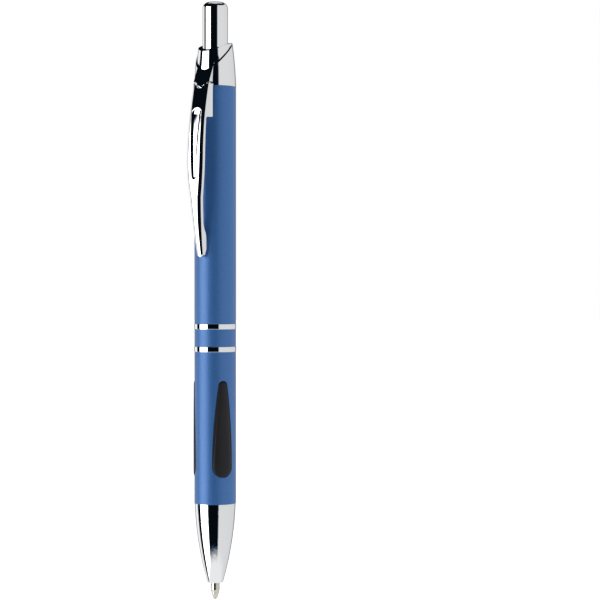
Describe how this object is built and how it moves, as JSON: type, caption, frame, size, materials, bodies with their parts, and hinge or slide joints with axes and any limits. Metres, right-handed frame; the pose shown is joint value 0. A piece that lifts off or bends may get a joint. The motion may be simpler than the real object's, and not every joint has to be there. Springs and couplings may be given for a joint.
{
  "type": "retractable ballpoint pen",
  "caption": "Slim click ballpoint pen with a painted metal barrel, bowed chrome pocket clip, slanted collar, soft teardrop grip pads, trim rings and a chrome nose.",
  "frame": {"origin": "on the pen's axis, in the middle of the bare barrel between the clip and the trim rings", "axes": "+Z along the pen towards the click button, -Y towards the pocket clip, +X to the right seen from the clip's side"},
  "size_m": [0.0101, 0.014, 0.1401],
  "materials": {
    "barrel_paint": "satin metallic",
    "chrome_plate": "polished",
    "soft_grip": "matte",
    "black_plastic": "matte",
    "white_plastic": "moulded",
    "clear_tube": "translucent",
    "ink": "liquid",
    "follower_grease": "grease",
    "point_metal": "nickel silver, turned",
    "ball_carbide": "polished carbide",
    "spring_steel": "drawn wire"
  },
  "bodies": {
    "barrel": {"upper_barrel": "barrel_paint", "top_collar": "chrome_plate", "cam_sleeve": "white_plastic", "threaded_connector": "black_plastic", "upper_trim_ring": "chrome_plate", "centre_band": "barrel_paint"},
    "clip": {"pocket_clip": "chrome_plate"},
    "button": {"push_button": "chrome_plate", "plunger": "white_plastic"},
    "rotor": {"rotary_cam": "white_plastic"},
    "lower_ring": {"lower_trim_ring": "chrome_plate"},
    "front": {"lower_barrel": "barrel_paint", "threaded_insert": "black_plastic", "grip_liner": "black_plastic", "grip_pad_1": "soft_grip", "grip_pad_2": "soft_grip", "grip_pad_3": "soft_grip", "nose_cone": "chrome_plate", "return_spring": "spring_steel"},
    "refill": {"refill_tube": "clear_tube", "refill_end_cap": "white_plastic", "refill_tip": "point_metal", "ink_column": "ink", "ink_follower": "follower_grease"},
    "ball": {"writing_ball": "ball_carbide"}
  },
  "joints": [
    {"name": "clip_flex", "type": "hinge", "parent": "barrel", "child": "clip", "pos_m": [0, -0.00625, 0.04845], "axis": [-1, 0, 0], "range_deg": [0, 4], "stiffness_Nm_per_rad": 0.05},
    {"name": "button_press", "type": "slide", "parent": "barrel", "child": "button", "axis": [0, 0, 1], "range_m": [-0.0015, 0.0045], "stiffness_N_per_m": 120},
    {"name": "rotor_turn", "type": "hinge", "parent": "button", "child": "rotor", "pos_m": [0, 0, 0.03205], "axis": [0, 0, 1], "continuous": true},
    {"name": "front_travel", "type": "slide", "parent": "barrel", "child": "lower_ring", "axis": [0, 0, -1], "range_m": [0, 0.00451]},
    {"name": "front_unscrew", "type": "hinge", "parent": "lower_ring", "child": "front", "pos_m": [0, 0, -0.01375], "axis": [0, 0, -1], "range_deg": [0, 2160]},
    {"name": "refill_slide", "type": "slide", "parent": "front", "child": "refill", "axis": [0, 0, 1], "range_m": [-0.0015, 0.0045], "deforming": ["return_spring"]},
    {"name": "ball_roll", "type": "hinge", "parent": "refill", "child": "ball", "pos_m": [0, 0, -0.07135], "axis": [1, 0, 0], "continuous": true}
  ],
  "couplings": [
    {"joint": "front_travel", "follows": "front_unscrew", "m_per_rad": 0.00011937},
    {"joint": "refill_slide", "follows": "button_press", "ratio": 1}
  ]
}
